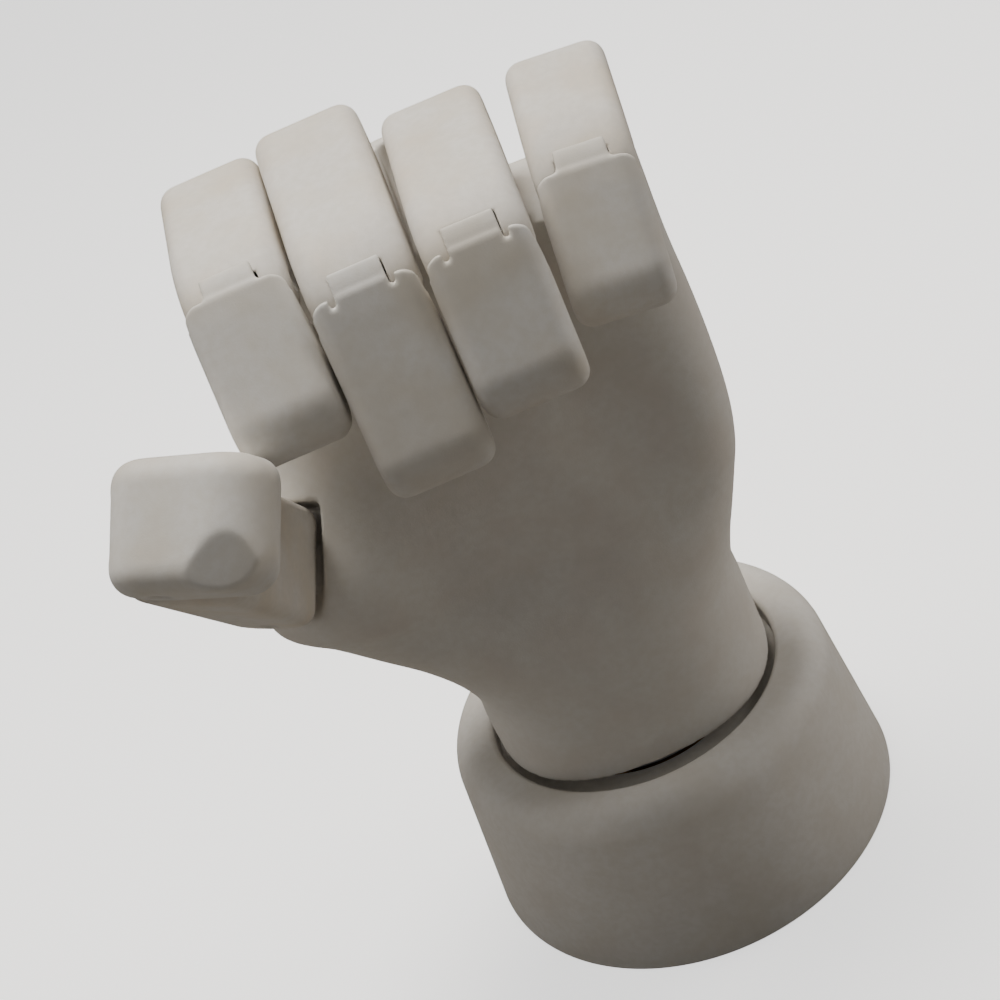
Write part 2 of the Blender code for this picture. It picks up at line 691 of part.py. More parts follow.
def distal(finger):
    name = finger[0] + "_distal"
    place, hinge, straight = finger_frame(finger)
    knuckle = place + bent(hinge, straight, finger[6]) * finger[7] * MM
    length = finger[9] * MM
    half = finger[10] / 2 * MM
    frame = block_matrix(knuckle, hinge, bent(hinge, straight, finger[8]))
    tip = length - BLOCK_HALF
    outline = [(DISTAL_BACK, -LIP_RISE), (DISTAL_BACK, 3 * MM)] + arc(0, tip, BLOCK_HALF, 0, 180, 12)
    outline += [(-BLOCK_HALF, RELIEF_LENGTH), (0.0, RELIEF_LENGTH - 2 * MM), (0.0, -LIP_RISE)]

    def at_lip(point):
        return point.z < RELIEF_LENGTH - 1 * MM and not point.y > DISTAL_BACK - 0.1 * MM

    block = add(name, slab(outline, half, BLOCK_EDGE, at_lip), NYLON, frame)
    hollow = rod((-half - 5 * MM, 0, 0), (half + 5 * MM, 0, 0), BARREL_RADIUS + LIP_CLEARANCE, 40)
    boolean(block, add(name + "_hollow", hollow, None, frame))
    tongue = arc(0, 0, TONGUE_RADIUS, 0, -180, 8) + [
        (-TONGUE_RADIUS, 3 * MM),
        (-TONGUE_RADIUS + 1 * MM, BARREL_RADIUS + 2 * MM),
        (TONGUE_RADIUS, BARREL_RADIUS + 2 * MM),
    ]
    boolean(block, add(name + "_tongue", slab(tongue, TONGUE_HALF_WIDTH), None, frame), "UNION")
    tab_low = (-TAB_HALF_WIDTH, BARREL_RADIUS + LIP_CLEARANCE, -TAB_RISE)
    tab = box(tab_low, (TAB_HALF_WIDTH, DISTAL_BACK - 0.02 * MM, 3 * MM))
    boolean(block, add(name + "_tab", tab, None, frame), "UNION")
    hole = rod((-half - 5 * MM, 0, 0), (half + 5 * MM, 0, 0), PIN_RADIUS + GAP)
    boolean(block, add(name + "_hole", hole, None, frame))


def thumb_root():
    """The base hinge's middle, level with the knuckle's along the hinge, and the way to the knuckle."""
    root = THUMB_BASE + THUMB_HINGE * (THUMB_KNUCKLE - THUMB_BASE).dot(THUMB_HINGE)
    return root, THUMB_KNUCKLE - root


def thumb():
    half = THUMB_WIDTH / 2
    root, way = thumb_root()
    length = way.length
    frame = block_matrix(root, THUMB_HINGE, way)
    below = length - BLOCK_HALF
    outline = arc(0, 0, BLOCK_HALF, 0, -180, 12) + [(-BLOCK_HALF, below - THUMB_FLANK_RISE)]
    outline += [(0.0, below - THUMB_HEART_RISE), (BLOCK_HALF, length)]
    block = add("thumb_proximal", slab(outline, half, BLOCK_EDGE), NYLON, frame)
    for label, degrees in (("rest", -THUMB_OPENS), ("open", 0.0)):
        turned_frame = frame @ Matrix.Rotation(math.radians(degrees), 4, "X")
        room = slab(tongue_outline(SLOT_CLEARANCE), TONGUE_HALF_WIDTH + SLOT_CLEARANCE)
        boolean(block, add("thumb_slot_" + label, room, None, turned_frame))
    reach = BLOCK_HALF + TROUGH_CLEARANCE
    hollow = rod((-half - 5 * MM, 0, length), (half + 5 * MM, 0, length), reach, 40)
    boolean(block, add("thumb_hollow", hollow, None, frame))
    lug = arc(0, length, TONGUE_RADIUS, 0, 180, 8)
    lug += [(-TONGUE_NECK_HALF, length - reach - 3 * MM), (TONGUE_NECK_HALF, length - reach - 3 * MM)]
    boolean(block, add("thumb_lug", slab(lug, TONGUE_HALF_WIDTH), None, frame), "UNION")
    for label, at in (("a", 0.0), ("b", length)):
        hole = rod((-half - 5 * MM, 0, at), (half + 5 * MM, 0, at), PIN_RADIUS + GAP)
        boolean(block, add("thumb_hole_" + label, hole, None, frame))

    frame = block_matrix(THUMB_KNUCKLE, THUMB_HINGE, THUMB_TIP_WAY)
    tip = THUMB_TIP_LENGTH - BLOCK_HALF
    outline = arc(0, 0, BLOCK_HALF, 0, -180, 12) + arc(0, tip, BLOCK_HALF, 180, 0, 12)
    block = add("thumb_distal", slab(outline, half, THUMB_EDGE), NYLON, frame)
    knuckle_slot(block, "thumb_distal", frame, 0.0, SLOT_TOP)
    hole = rod((-half - 5 * MM, 0, 0), (half + 5 * MM, 0, 0), PIN_RADIUS + GAP)
    boolean(block, add("thumb_distal_hole", hole, None, frame))
    pin("thumb_base_pin", root, THUMB_HINGE, THUMB_WIDTH - 2 * PIN_RECESS)
    pin("thumb_knuckle_pin", THUMB_KNUCKLE, THUMB_HINGE, THUMB_WIDTH - 2 * PIN_RECESS)


wrist()
spigot()
palm()
transmission()
for finger in FINGERS:
    proximal(finger)
    distal(finger)
thumb()
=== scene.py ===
import json
import math

import bmesh
import bpy
from mathutils import Matrix, Vector


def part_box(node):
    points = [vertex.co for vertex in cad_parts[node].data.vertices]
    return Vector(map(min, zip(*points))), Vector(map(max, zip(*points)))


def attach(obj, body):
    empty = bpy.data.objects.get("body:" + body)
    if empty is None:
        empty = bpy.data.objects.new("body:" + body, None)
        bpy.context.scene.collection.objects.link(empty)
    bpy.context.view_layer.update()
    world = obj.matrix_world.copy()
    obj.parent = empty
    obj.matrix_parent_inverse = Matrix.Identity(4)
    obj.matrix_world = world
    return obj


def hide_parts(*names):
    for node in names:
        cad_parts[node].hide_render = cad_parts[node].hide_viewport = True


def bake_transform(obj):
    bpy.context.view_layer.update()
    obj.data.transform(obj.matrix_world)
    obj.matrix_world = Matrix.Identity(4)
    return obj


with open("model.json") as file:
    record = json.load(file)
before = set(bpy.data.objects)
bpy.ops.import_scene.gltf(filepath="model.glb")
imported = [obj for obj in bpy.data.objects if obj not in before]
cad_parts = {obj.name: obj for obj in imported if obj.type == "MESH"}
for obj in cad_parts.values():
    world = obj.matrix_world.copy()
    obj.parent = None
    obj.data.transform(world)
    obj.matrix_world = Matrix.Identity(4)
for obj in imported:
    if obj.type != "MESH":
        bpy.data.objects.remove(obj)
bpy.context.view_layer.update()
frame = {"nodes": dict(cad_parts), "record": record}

# ---------------------------------------------------------------------------------------------
# Studio. A pale matt floor, one wide soft light high over the fingers, and a weak even sky, so
# that faces turned up are bright and the palm under the fingers stays in shade. The camera looks
# down at the palm from in front, turned on its side so that the hand leans to the left.
# ---------------------------------------------------------------------------------------------

MM = 0.001


def linear(hex_colour):
    """A six-digit sRGB colour as linear red, green, blue and alpha."""
    shares = [int(hex_colour[place : place + 2], 16) / 255 for place in (0, 2, 4)]
    return (*[((s + 0.055) / 1.055) ** 2.4 if s > 0.04045 else s / 12.92 for s in shares], 1.0)


def add_node(tree, kind, settings=None, inputs=None):
    """Adds a node: settings are its own options, inputs are values or sockets to link."""
    made = tree.nodes.new(kind)
    for name, value in (settings or {}).items():
        setattr(made, name, value)
    for name, value in (inputs or {}).items():
        if isinstance(value, bpy.types.NodeSocket):
            tree.links.new(value, made.inputs[name])
        else:
            made.inputs[name].default_value = value
    return made


def new_material(name, colour, roughness, metallic=0.0, ior=1.5):
    """A material with its Principled shader set to one plain finish, and its node tree."""
    made = bpy.data.materials.new(name)
    made.use_nodes = True
    shader = made.node_tree.nodes["Principled BSDF"]
    shader.inputs["Base Color"].default_value = linear(colour)
    shader.inputs["Roughness"].default_value = roughness
    shader.inputs["Metallic"].default_value = metallic
    shader.inputs["IOR"].default_value = ior
    return made, made.node_tree, shader


def new_object(name, mesh, paint=None):
    """Puts a mesh in the scene, in one material if it has one."""
    obj = bpy.data.objects.new(name, mesh)
    bpy.context.scene.collection.objects.link(obj)
    if paint:
        mesh.materials.clear()
        mesh.materials.append(paint)
    return obj


FLOOR_HALF = 12.0
FLOOR_SEEN = "f2f1ef"
FLOOR_THROWN = "8f8b86"
FLOOR_GLOW = 1.3
SKY_STRENGTH = 0.18

bm = bmesh.new()
bmesh.ops.create_grid(bm, x_segments=1, y_segments=1, size=FLOOR_HALF)
floor_mesh = bpy.data.meshes.new("studio_floor")
bm.to_mesh(floor_mesh)
bm.free()
# Matt paint, bright where it is looked at and dull in what it throws back, so it stays pale
# while the palm keeps its shade
floor_paint, tree, shader = new_material("matt_floor_paint", FLOOR_SEEN, 0.9)
seen = add_node(tree, "ShaderNodeLightPath").outputs["Is Camera Ray"]
paint_mix = add_node(
    tree,
    "ShaderNodeMix",
    {"data_type": "RGBA"},
    {"Factor": seen, "A": linear(FLOOR_THROWN), "B": linear(FLOOR_SEEN)},
)
tree.links.new(paint_mix.outputs["Result"], shader.inputs["Base Color"])
glow = add_node(tree, "ShaderNodeMath", {"operation": "MULTIPLY"})
tree.links.new(seen, glow.inputs[0])
glow.inputs[1].default_value = FLOOR_GLOW
tree.links.new(glow.outputs["Value"], shader.inputs["Emission Strength"])
shader.inputs["Emission Color"].default_value = linear("ffffff")
studio_floor = new_object("studio_floor", floor_mesh, floor_paint)

world = bpy.data.worlds.new("studio")
bpy.context.scene.world = world
world.use_nodes = True
world.node_tree.nodes["Background"].inputs["Color"].default_value = linear("fbf8f2")
world.node_tree.nodes["Background"].inputs["Strength"].default_value = SKY_STRENGTH


def soft_light(name, place, aim, size, watts, colour):
    """A round softbox of this width, turned towards its aim."""
    lamp = bpy.data.lights.new(name, "AREA")
    lamp.shape = "DISK"
    lamp.size = size
    lamp.energy = watts
    lamp.color = linear(colour)[:3]
    obj = bpy.data.objects.new(name, lamp)
    obj.location = place
    obj.rotation_euler = (Vector(aim) - Vector(place)).to_track_quat("-Z", "Y").to_euler()
    bpy.context.scene.collection.objects.link(obj)


soft_light("overhead_softbox", (-0.04, 0.09, 0.66), (-0.01, 0, 0.12), 0.30, 3.5, "fffaf2")
soft_light("front_fill", (-0.7, -1.2, 0.7), (0, 0, 0.1), 0.8, 0.4, "f6f8ff")
soft_light("right_side", (1.2, 0.25, 0.5), (0, 0, 0.1), 0.7, 5.4, "fffaf4")
soft_light("left_side", (-1.2, 0.3, 0.5), (0, 0, 0.1), 0.7, 2.2, "fffaf4")

CAMERA_PLACE = Vector((26.55, -375.55, 347.21)) * MM
CAMERA_RIGHT = Vector((0.91664, -0.15765, -0.36732))
CAMERA_BACK = Vector((0.07756, -0.83133, 0.55034))
CAMERA_LENS = 79.11
CAMERA_FILM = 36.0
camera_data = bpy.data.cameras.new("camera")
camera_data.lens = CAMERA_LENS
camera_data.sensor_width = CAMERA_FILM
camera_data.clip_start = 0.01
camera = bpy.data.objects.new("camera", camera_data)
camera_back = CAMERA_BACK.normalized()
camera_up = camera_back.cross(CAMERA_RIGHT).normalized()
camera_axes = Matrix((camera_up.cross(camera_back), camera_up, camera_back)).transposed()
camera.matrix_world = Matrix.Translation(CAMERA_PLACE) @ camera_axes.to_4x4()
bpy.context.scene.collection.objects.link(camera)
bpy.context.scene.camera = camera

# ---------------------------------------------------------------------------------------------
# Wrist collar. A thick laser-sintered nylon cup with a broad rolled rim, printed upside down and
# bead-blasted; a turned aluminium adapter plate closes it underneath, on three steel screws, and
# a bronze bush is pressed into its bore.
# ---------------------------------------------------------------------------------------------

COLLAR_HEIGHT = 42.0 * MM
COLLAR_BASE_RADIUS = 47.0 * MM
COLLAR_TOP_RADIUS = 43.4 * MM
FOOT_FILLET = 1.2 * MM
RIM_FILLET = 7.0 * MM
LIP_RADIUS = 32.7 * MM
LIP_FILLET = 1.3 * MM
RECESS_FLOOR = 37.0 * MM
BUSH_BORE = 24.0 * MM
CHAMBER_RADIUS = 28.5 * MM
CHAMBER_TOP = 12.0 * MM
PLATE_RADIUS = 38.3 * MM
PLATE_TOP = 4.3 * MM
COLLAR_STEPS = 160


def arc(centre_y, centre_z, radius, start, end, steps):
    """Points (y, z) on an arc; the angle is from +Y towards +Z, in degrees."""
    found = []
    for step in range(steps + 1):
        angle = math.radians(start + (end - start) * step / steps)
        found.append((centre_y + radius * math.cos(angle), centre_z + radius * math.sin(angle)))
    return found


def turned(name, outline, paint, steps):
    """A closed outline of (radius, height) spun about Z."""
    bm = bmesh.new()
    points = [bm.verts.new((radius, 0.0, height)) for radius, height in outline]
    for start, end in zip(points, points[1:] + points[:1]):
        bm.edges.new((start, end))
    bmesh.ops.spin(
        bm,
        geom=bm.verts[:] + bm.edges[:],
        axis=(0, 0, 1),
        cent=(0, 0, 0),
        angle=math.tau,
        steps=steps,
        use_merge=True,
    )
    bmesh.ops.remove_doubles(bm, verts=bm.verts, dist=0.001 * MM)
    bmesh.ops.recalc_face_normals(bm, faces=bm.faces)
    mesh = bpy.data.meshes.new(name)
    bm.to_mesh(mesh)
    bm.free()
    mesh.shade_smooth()
    mesh.set_sharp_from_angle(angle=math.radians(30))
    return new_object(name, mesh, paint)


def patterns(tree, coordinates, sizes):
    """Uneven patterns across the piece, one for each (cell lengths in metres, detail)."""
    found = []
    for lengths, detail in sizes:
        scale = [1 / length for length in lengths]
        placed = add_node(
            tree, "ShaderNodeMapping", None, {"Vector": coordinates, "Scale": scale}
        ).outputs["Vector"]
        inputs = {"Vector": placed, "Scale": 1.0, "Detail": detail}
        found.append(add_node(tree, "ShaderNodeTexNoise", None, inputs).outputs["Fac"])
    return found


def relief(tree, shader, layers):
    """Raises the surface by a stack of patterns: (height, distance in metres, strength)."""
    stacked = {}
    for height, distance, strength in layers:
        inputs = {"Height": height, "Distance": distance, "Strength": strength, **stacked}
        stacked = {"Normal": add_node(tree, "ShaderNodeBump", None, inputs).outputs["Normal"]}
    tree.links.new(stacked["Normal"], shader.inputs["Normal"])


GRAIN = 0.35 * MM  # drawn coarser than the 0.06 mm powder, so that it still shows
BLOTCH = 13.0 * MM
SPECK = 1.6 * MM
WAVE = 5.0 * MM
LAYER = 0.6 * MM  # drawn coarser than the 0.1 mm layers that a sintering machine leaves
LAYER_SPREAD = 40.0 * MM
NYLON_ROUGHNESS = 0.62
NYLON_IOR = 1.53
NYLON_DUST = "cfcac0"
EVEN = (0.35, 0.65)  # the middle of a pattern, where most of its values lie


def nylon_paint(name, clean, handled, layer_strength):
    """Bead-blasted sintered nylon: a fine chalky grain, faint layers, warm handled patches."""
    made, tree, shader = new_material(name, clean, NYLON_ROUGHNESS, 0.0, NYLON_IOR)
    coordinates = add_node(tree, "ShaderNodeTexCoord").outputs["Object"]
    sizes = [
        ((GRAIN, GRAIN, GRAIN), 3.0),
        ((BLOTCH, BLOTCH, BLOTCH), 2.0),
        ((SPECK, SPECK, SPECK), 3.0),
        ((LAYER_SPREAD, LAYER_SPREAD, LAYER), 1.0),
        ((WAVE, WAVE, WAVE), 1.0),
    ]
    grain, patches, specks, layers, waves = patterns(tree, coordinates, sizes)
    touched = add_node(
        tree,
        "ShaderNodeMapRange",
        None,
        {"Value": patches, "From Min": 0.42, "From Max": 0.68},
    ).outputs["Result"]
    skin = add_node(
        tree,
        "ShaderNodeMix",
        {"data_type": "RGBA"},
        {"Factor": touched, "A": linear(clean), "B": linear(handled)},
    ).outputs["Result"]
    dust = add_node(
        tree,
        "ShaderNodeMapRange",
        None,
        {"Value": specks, "From Min": EVEN[0], "From Max": EVEN[1], "To Max": 0.35},
    ).outputs["Result"]
    dusty = add_node(
        tree,
        "ShaderNodeMix",
        {"data_type": "RGBA"},
        {"Factor": dust, "A": skin, "B": linear(NYLON_DUST)},
    ).outputs["Result"]
    tree.links.new(dusty, shader.inputs["Base Color"])
    polish = add_node(
        tree,
        "ShaderNodeMapRange",
        None,
        {"Value": patches, "From Min": EVEN[0], "From Max": EVEN[1], "To Min": 0.66, "To Max": 0.55},
    ).outputs["Result"]
    tree.links.new(polish, shader.inputs["Roughness"])
    raised = [
        (waves, 0.25 * MM, 0.35),
        (layers, 0.03 * MM, layer_strength),
        (grain, 0.045 * MM, 0.5),
    ]
    relief(tree, shader, raised)
    return made


# Chalky grey-white all over, a little browner where it has been handled
collar_nylon = nylon_paint("blasted_nylon_collar", "dfdcd7", "d8d3cb", 0.35)

outline = [
    (PLATE_RADIUS, 0.0),
    (COLLAR_BASE_RADIUS - FOOT_FILLET, 0.0),
    *arc(COLLAR_BASE_RADIUS - FOOT_FILLET, FOOT_FILLET, FOOT_FILLET, -70, 0, 5),
    *arc(COLLAR_TOP_RADIUS - RIM_FILLET, COLLAR_HEIGHT - RIM_FILLET, RIM_FILLET, 4, 90, 16),
    *arc(LIP_RADIUS + LIP_FILLET, COLLAR_HEIGHT - LIP_FILLET, LIP_FILLET, 90, 180, 8),
    (LIP_RADIUS, RECESS_FLOOR),
    (BUSH_BORE, RECESS_FLOOR),
    (BUSH_BORE, CHAMBER_TOP),
    (CHAMBER_RADIUS, CHAMBER_TOP),
    (CHAMBER_RADIUS, PLATE_TOP),
    (PLATE_RADIUS, PLATE_TOP),
]
collar = turned("wrist_collar_body", outline, collar_nylon, COLLAR_STEPS)
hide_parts("wrist_collar")
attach(collar, "collar")


STAIN = 6.0 * MM
METAL_GRAIN = 0.3 * MM
WAVE_SPACING = 0.3  # metres from one ring of a wave pattern to the next, at a scale of 1


def turned_metal(name, light, dark, roughness, ring):
    """Turned metal: fine rings left by the lathe, and a little brightness change between them."""
    made, tree, shader = new_material(name, light, roughness, 1.0)
    coordinates = add_node(tree, "ShaderNodeTexCoord").outputs["Object"]
    rings = add_node(
        tree,
        "ShaderNodeTexWave",
        {"wave_type": "RINGS", "rings_direction": "Z"},
        {"Vector": coordinates, "Scale": WAVE_SPACING / ring, "Distortion": 0.6, "Detail": 2.0},
    ).outputs["Fac"]
    sizes = [((STAIN, STAIN, STAIN), 3.0), ((METAL_GRAIN, METAL_GRAIN, METAL_GRAIN), 2.0)]
    stains, grain = patterns(tree, coordinates, sizes)
    stained = add_node(
        tree,
        "ShaderNodeMapRange",
        None,
        {"Value": stains, "From Min": EVEN[0], "From Max": EVEN[1]},
    ).outputs["Result"]
    colour = add_node(
        tree,
        "ShaderNodeMix",
        {"data_type": "RGBA"},
        {"Factor": stained, "A": linear(light), "B": linear(dark)},
    ).outputs["Result"]
    tree.links.new(colour, shader.inputs["Base Color"])
    sheen = add_node(
        tree,
        "ShaderNodeMapRange",
        None,
        {"Value": rings, "To Min": roughness - 0.06, "To Max": roughness + 0.1},
    ).outputs["Result"]
    tree.links.new(sheen, shader.inputs["Roughness"])
    relief(tree, shader, [(rings, 0.01 * MM, 0.5), (grain, 0.006 * MM, 0.4)])
    return made


def finish(names, paint):
    """Gives pieces carried over from the CAD model their finish."""
    for name in names:
        for slot in frame["nodes"][name].material_slots:
            slot.material = paint


# Turned aluminium: pale neutral grey, satin, with rings that catch the light across the plate
turned_aluminium = turned_metal("turned_aluminium", "c9cacc", "b4b6ba", 0.34, 0.5 * MM)
# Turned bearing bronze: a warm brown gold, duller and darker where oil has dried on it
bearing_bronze = turned_metal("bearing_bronze", "b98a4e", "9a6d38", 0.38, 0.4 * MM)
# Ground steel: neutral and brighter than the plate, with a short fine grain
ground_steel = turned_metal("ground_steel", "c4c4c6", "a9aaad", 0.26, 0.25 * MM)

finish(["adapter_plate", "neck_spigot"], turned_aluminium)
finish(["neck_bush"], bearing_bronze)
finish(["adapter_screw_1", "adapter_screw_2", "adapter_screw_3"], ground_steel)
finish(["retaining_washer", "centre_screw"], ground_steel)

# ---------------------------------------------------------------------------------------------
# Palm. One sintered nylon shell: a round neck that widens into the heel of the thumb and the
# heel of the hand, with two shallow hollows, a knuckle trough and lug for each finger, and a deep
# socket for the thumb. A nylon cover is screwed over the opening in its back.
# ---------------------------------------------------------------------------------------------

NECK_BOTTOM = 41.2
PALM_TOP = 177.0
# height, reach to the left, right, front and back, centre in y, squareness (2 is an ellipse)
PALM_STATIONS = [
    (NECK_BOTTOM, 31.4, 31.4, 29.6, 26.0, 1.6, 2.35),
    (50.0, 31.5, 31.4, 29.0, 26.5, 1.2, 2.3),
    (59.0, 31.3, 31.4, 28.0, 27.2, 0.6, 2.25),
    (67.0, 34.2, 31.3, 26.2, 27.5, -1.0, 2.2),
    (75.0, 39.8, 33.2, 23.4, 27.0, -3.0, 2.22),
    (83.0, 47.0, 36.0, 20.9, 26.5, -5.0, 2.28),
    (91.0, 54.5, 38.9, 18.1, 26.0, -6.5, 2.32),
    (97.0, 60.8, 40.9, 18.2, 25.0, -7.0, 2.35),
    (105.0, 60.2, 42.5, 17.5, 24.0, -7.0, 2.35),
    (115.0, 55.5, 43.4, 16.5, 21.5, -5.5, 2.35),
    (128.0, 49.0, 43.7, 15.5, 18.0, -3.0, 2.35),
    (142.0, 44.5, 43.4, 14.0, 15.5, -1.0, 2.35),
    (158.0, 42.2, 43.8, 13.0, 13.5, 0.5, 2.35),
    (PALM_TOP, 41.4, 44.2, 12.0, 12.0, 1.5, 2.35),
]
PALM_LAYERS = 110
PALM_POINTS = 160
# hollows and mounds of the palm's front: x, z, spread in x, spread in z, depth towards the back
PALM_HOLLOWS = [
    (-12.0, 99.0, 13.0, 12.0, 8.6),
    (20.0, 112.0, 10.0, 15.0, 6.0),
    (-46.0, 108.0, 11.0, 12.0, -6.0),
]
PALM_SHOULDER = [(2.0, 176.5), (20.5, 161.5), (60.0, 161.5), (60.0, 200.0), (2.0, 200.0)]
PALM_VOXEL = 0.65 * MM
PALM_SMOOTHING = 6

COVER_HALF_WIDTH = 27.0 * MM
COVER_LOW = 79.0 * MM
COVER_HIGH = 156.0 * MM
COVER_FACE = 8.3 * MM
COVER_GAP = 0.3 * MM
CAVITY_HALF_WIDTH = 20.8 * MM
CAVITY_LOW = 87.0 * MM
CAVITY_HIGH = 150.5 * MM
CAVITY_FLOOR = -6.0 * MM
PLUG_RADIUS = 18.3 * MM
PLUG_TOP = 58.6 * MM
FAR = 60.0 * MM  # well past the palm on every side
PAST = 5.0 * MM  # how far a drill or a cutter starts outside what it cuts

BLOCK_HALF = 9.0 * MM  # half the thickness of a finger block, and the radius of its ends
TROUGH_GAP = 0.6 * MM
TROUGH_HALF = 12.2 * MM
TROUGH_TOP = 45.0 * MM
LUG_RADIUS = 5.2 * MM
LUG_HALF = 4.4 * MM
LUG_LENGTH = 18.0 * MM
PIN_HOLE = 1.8 * MM
PIN_REACH = 8.0 * MM
SOCKET_GAP = 1.6 * MM
THUMB_HALF = 11.8 * MM
THUMB_OPENS = 22.0
SOCKET_LEAN = 4.0  # degrees that the socket is wider than the thumb needs, on each side
FINGER_CLOSES = 8.0

joints = {row["name"]: row for row in frame["record"]["behaviour"]["joints"]}
# Each finger: name, bend at the knuckle and at the middle joint, then tip length and width in mm
FINGERS = [
    ("index", 92.5, 50.5, 28.6, 19.8),
    ("middle", 102.0, 56.0, 37.0, 20.3),
    ("ring", 92.8, 63.7, 30.0, 19.8),
    ("little", 103.0, 49.0, 26.8, 19.2),
]


def tool(bm, matrix=None):
    """A hidden shape that cuts or joins."""
    bmesh.ops.recalc_face_normals(bm, faces=bm.faces)
    mesh = bpy.data.meshes.new("tool")
    bm.to_mesh(mesh)
    bm.free()
    obj = new_object("tool", mesh)
    if matrix is not None:
        obj.matrix_world = matrix
    return obj


def box(low, high):
    bm = bmesh.new()
    low = Vector(low)
    high = Vector(high)
    bmesh.ops.create_cube(bm, size=1.0)
    bmesh.ops.scale(bm, vec=high - low, verts=bm.verts)
    bmesh.ops.translate(bm, vec=(low + high) / 2, verts=bm.verts)
    return bm


def rod(start, end, radius, sides=32):
    bm = bmesh.new()
    start = Vector(start)
    way = Vector(end) - start
    bmesh.ops.create_cone(
        bm, cap_ends=True, segments=sides, radius1=radius, radius2=radius, depth=way.length
    )
    turn = way.to_track_quat("Z", "Y").to_matrix().to_4x4()
    bmesh.ops.transform(bm, matrix=Matrix.Translation(start + way / 2) @ turn, verts=bm.verts)
    return bm


def slab(outline, half_width, edge=0.0, keep_sharp=None):
    """An outline in the local YZ plane, extruded both ways along X, its side rims rounded."""
    bm = bmesh.new()
    face = bm.faces.new([bm.verts.new((-half_width, y, z)) for y, z in outline])
    moved = bmesh.ops.extrude_face_region(bm, geom=[face])["geom"]
    shifted = [item for item in moved if isinstance(item, bmesh.types.BMVert)]
    bmesh.ops.translate(bm, vec=(2 * half_width, 0, 0), verts=shifted)
    bmesh.ops.recalc_face_normals(bm, faces=bm.faces)
    if edge:
        rims = [
            line
            for line in bm.edges
            if abs(line.verts[0].co.x - line.verts[1].co.x) < 0.01 * MM
            and not (keep_sharp and all(keep_sharp(vert.co) for vert in line.verts))
        ]
        bmesh.ops.bevel(bm, geom=rims, offset=edge, segments=6, profile=0.5, affect="EDGES")
    return bm


def curtain(outline, reach):
    """An outline in the XZ plane, extruded both ways along Y."""
    bm = bmesh.new()
    face = bm.faces.new([bm.verts.new((x, -reach, z)) for x, z in outline])
    moved = bmesh.ops.extrude_face_region(bm, geom=[face])["geom"]
    shifted = [item for item in moved if isinstance(item, bmesh.types.BMVert)]
    bmesh.ops.translate(bm, vec=(0, 2 * reach, 0), verts=shifted)
    return bm


def close_rings(bm, rings):
    """Joins a stack of rings of points side by side, and closes both ends."""
    sides = len(rings[0])
    for lower, upper in zip(rings, rings[1:]):
        for step in range(sides):
            after = (step + 1) % sides
            bm.faces.new((lower[step], lower[after], upper[after], upper[step]))
    bm.faces.new(rings[0][::-1])
    bm.faces.new(rings[-1])


def carved(name, form, steps, paint, voxel, smoothing):
    """Cuts and joins the tools in turn, then softens every edge as blasting does.

    The result is one closed mesh in the object's own frame, with no modifiers left.
    """
    for operation, other in steps:
        modifier = form.modifiers.new(operation, "BOOLEAN")
        modifier.operation = operation
        modifier.solver = "EXACT"
        modifier.object = other
    remesh = form.modifiers.new("skin", "REMESH")
    remesh.mode = "VOXEL"
    remesh.voxel_size = voxel
    soften = form.modifiers.new("soften", "SMOOTH")
    soften.factor = 0.5
    soften.iterations = smoothing
    graph = bpy.context.evaluated_depsgraph_get()
    mesh = bpy.data.meshes.new_from_object(form.evaluated_get(graph))
    mesh.transform(form.matrix_world)
    mesh.name = name
    mesh.shade_smooth()
    for other in [form] + [other for _, other in steps]:
        bpy.data.objects.remove(other, do_unlink=True)
    return new_object(name, mesh, paint)


def frame_at(place, hinge, way):
    """Local X along the hinge, local Z along the block, local Y out of its back."""
    way = (way - hinge * way.dot(hinge)).normalized()
    back = way.cross(hinge).normalized()
    return Matrix.Translation(place) @ Matrix((hinge, back, way)).transposed().to_4x4()


def turn_way(hinge, way, degrees):
    """A way square to the hinge, turned about it."""
    angle = math.radians(degrees)
    return way * math.cos(angle) + hinge.cross(way) * math.sin(angle)


def joint_at(name):
    """A hinge's place and its way, as the frame has them."""
    row = joints[name]
    return Vector(row["pos_m"]), Vector(row["axis"]).normalized()


def finger_ways(finger):
    """Knuckle, middle joint, hinge, and the ways of the straight finger and of its two blocks."""
    name, knuckle_bend, middle_bend = finger[:3]
    knuckle, hinge = joint_at(name + "_knuckle")
    middle, _ = joint_at(name + "_middle")
    first = (middle - knuckle).normalized()
    straight = turn_way(hinge, first, -knuckle_bend)
    return knuckle, middle, hinge, straight, first, turn_way(hinge, first, middle_bend)


def eased(height):
    """One row of the station table at a height, on a smooth curve through the rows."""
    last = len(PALM_STATIONS) - 1
    index = max(i for i in range(last) if i == 0 or PALM_STATIONS[i][0] <= height)
    before = PALM_STATIONS[max(index - 1, 0)]
    low = PALM_STATIONS[index]
    high = PALM_STATIONS[index + 1]
    after = PALM_STATIONS[min(index + 2, last)]
    span = high[0] - low[0]
    t = min(max((height - low[0]) / span, 0.0), 1.0)
    found = []
    for column in range(1, len(low)):
        rise_low = (high[column] - before[column]) / (high[0] - before[0]) * span
        rise_high = (after[column] - low[column]) / (after[0] - low[0]) * span
        found.append(
            (2 * t**3 - 3 * t**2 + 1) * low[column]
            + (t**3 - 2 * t**2 + t) * rise_low
            + (3 * t**2 - 2 * t**3) * high[column]
            + (t**3 - t**2) * rise_high
        )
    return found


